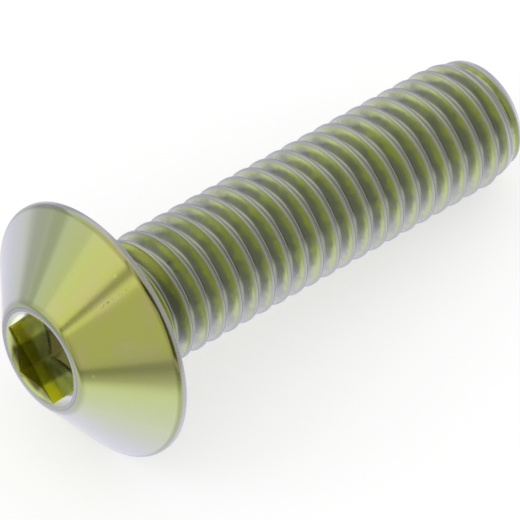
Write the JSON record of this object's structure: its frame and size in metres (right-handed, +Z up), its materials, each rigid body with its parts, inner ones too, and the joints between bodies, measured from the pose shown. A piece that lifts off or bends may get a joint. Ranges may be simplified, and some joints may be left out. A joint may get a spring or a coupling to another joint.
{
  "type": "button head screw",
  "caption": "Fully threaded metric machine screw with a low conical button head and a hexagon socket, yellow-green plated.",
  "frame": {"origin": "on the ground, under the middle of the lying screw's bounding box", "axes": "+Z up; +X along the ground from the head to the tip; the screw lies on its rim and on its last full crest, so its axis slopes down to the tip by about 8 degrees"},
  "size_m": [0.035, 0.016, 0.0158],
  "materials": {
    "yellow_green_plating": "steel, bright zinc plated and passivated yellow-green, satin, turning lilac-grey at edges and at grazing angles"
  },
  "bodies": {
    "root": {"button_head_screw": "yellow_green_plating"}
  },
  "joints": []
}
